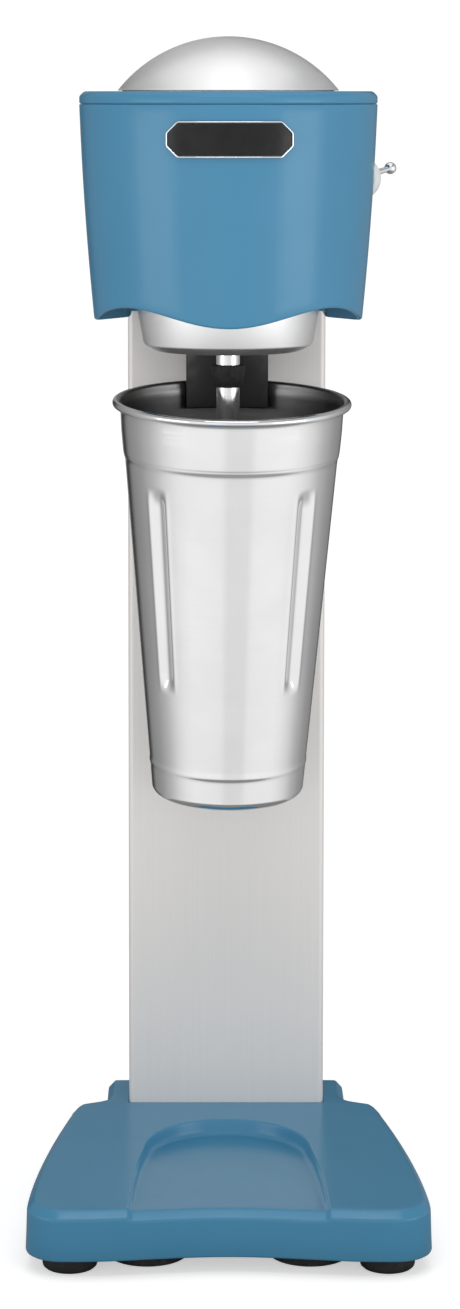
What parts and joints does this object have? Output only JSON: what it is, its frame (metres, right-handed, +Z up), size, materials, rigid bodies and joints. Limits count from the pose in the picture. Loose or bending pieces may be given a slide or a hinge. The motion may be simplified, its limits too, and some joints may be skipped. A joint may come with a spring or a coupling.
{
  "type": "milkshake mixer",
  "caption": "Single-spindle drink mixer: weighted base, brushed column, domed motor head with toggle switch, spindle with agitator and a tilted steel mixing cup.",
  "frame": {"origin": "on the counter, under the middle of the whole mixer's bounding box", "axes": "+Z up, -Y towards the user, +X to the user's right as they face the mixer"},
  "size_m": [0.1688, 0.1761, 0.5095],
  "materials": {
    "blue_plastic": "semi-gloss moulded blue plastic",
    "black_plastic": "satin moulded black plastic",
    "badge_black": "gloss black",
    "black_rubber": "moulded rubber",
    "grey_rubber": "light grey moulded rubber",
    "satin_aluminium": "satin",
    "brushed_stainless": "vertical brushed",
    "polished_stainless": "polished",
    "chrome": "polished",
    "zinc_plated_steel": "zinc plated",
    "laminated_steel": "stacked laminations",
    "copper": "enamelled copper wire",
    "carbon": "pressed carbon"
  },
  "bodies": {
    "frame": {"base_shell": "blue_plastic", "base_bottom_plate": "zinc_plated_steel", "front_foot_left": "black_rubber", "front_foot_right": "black_rubber", "rear_foot_left": "black_rubber", "rear_foot_right": "black_rubber", "suction_foot_left": "black_rubber", "suction_foot_right": "black_rubber", "column_channel": "brushed_stainless", "column_rear_cover": "brushed_stainless", "rear_cover_screw_1": "zinc_plated_steel", "rear_cover_screw_2": "zinc_plated_steel", "rear_cover_screw_3": "zinc_plated_steel", "rear_cover_screw_4": "zinc_plated_steel", "cord_gland": "black_rubber", "column_foot_bracket": "zinc_plated_steel", "column_bolt_left": "zinc_plated_steel", "column_bolt_right": "zinc_plated_steel", "cup_rest": "zinc_plated_steel", "cup_rest_screw_left": "zinc_plated_steel", "cup_rest_screw_right": "zinc_plated_steel", "head_shell": "blue_plastic", "head_top_cover": "blue_plastic", "top_cover_screw_left": "zinc_plated_steel", "top_cover_screw_right": "zinc_plated_steel", "nameplate": "badge_black", "nameplate_frame": "chrome", "motor_dome": "satin_aluminium", "motor_cone": "satin_aluminium", "motor_bracket": "zinc_plated_steel", "upper_bearing": "chrome", "lower_bearing": "chrome", "stator_core": "laminated_steel", "field_coil_left": "copper", "field_coil_right": "copper", "brush_holder_left": "black_plastic", "brush_holder_right": "black_plastic", "brush_left": "carbon", "brush_right": "carbon", "toggle_body": "zinc_plated_steel", "toggle_nut": "zinc_plated_steel", "toggle_boot": "grey_rubber", "cup_guide": "black_plastic", "actuator_spring": "chrome", "microswitch_body": "black_plastic"},
    "spindle": {"motor_shaft": "polished_stainless", "commutator": "copper", "armature_winding": "copper", "armature_core": "laminated_steel", "cooling_fan": "black_plastic", "splash_slinger": "black_rubber", "agitator_disc": "polished_stainless", "agitator_nut": "polished_stainless"},
    "toggle": {"toggle_lever": "chrome"},
    "cup": {"mixing_cup": "polished_stainless"},
    "actuator": {"switch_actuator": "black_plastic"},
    "plunger": {"microswitch_plunger": "black_rubber"}
  },
  "joints": [
    {"name": "spindle_spin", "type": "hinge", "parent": "frame", "child": "spindle", "pos_m": [0, -0.00945, 0.4], "axis": [0, 0, 1], "continuous": true},
    {"name": "toggle_lever", "type": "hinge", "parent": "frame", "child": "toggle", "pos_m": [0.0554, -0.00305, 0.4497], "axis": [-0.6789, 0.7342, 0], "range_deg": [0, 24]},
    {"name": "cup_swing", "type": "hinge", "parent": "frame", "child": "cup", "pos_m": [0, 0.03695, 0.349], "axis": [1, 0, 0], "range_deg": [-8, 0]},
    {"name": "actuator_travel", "type": "slide", "parent": "frame", "child": "actuator", "axis": [0, 0, 1], "range_m": [0, 0.0025], "stiffness_N_per_m": 250, "springref_m": -0.003, "deforming": ["actuator_spring"]},
    {"name": "microswitch_press", "type": "slide", "parent": "frame", "child": "plunger", "axis": [0, 0, 1], "range_m": [0, 0.0025]}
  ],
  "couplings": [
    {"joint": "microswitch_press", "follows": "actuator_travel", "ratio": 1}
  ]
}
